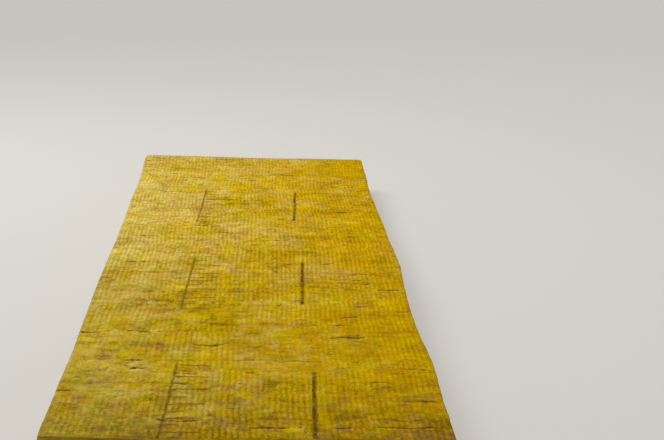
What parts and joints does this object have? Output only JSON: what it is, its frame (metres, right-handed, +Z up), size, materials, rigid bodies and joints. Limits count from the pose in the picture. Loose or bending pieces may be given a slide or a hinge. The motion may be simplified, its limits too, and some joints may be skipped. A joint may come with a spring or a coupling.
{
  "type": "mineral wool insulation mat",
  "caption": "Long flat mat of yellow mineral wool, unrolled on the floor, with soft rounded edges, a ridged belt imprint on top and plain dark cutting marks along it.",
  "frame": {"origin": "middle of the mat's flat underside", "axes": "+Y along the mat's length, +X across its width, +Z up through its thickness"},
  "size_m": [1, 3.5, 0.1499],
  "materials": {
    "mineral_wool": "matte, fibrous, with a ridged imprint"
  },
  "bodies": {
    "root": {"wool_mat": "mineral_wool"}
  },
  "joints": []
}
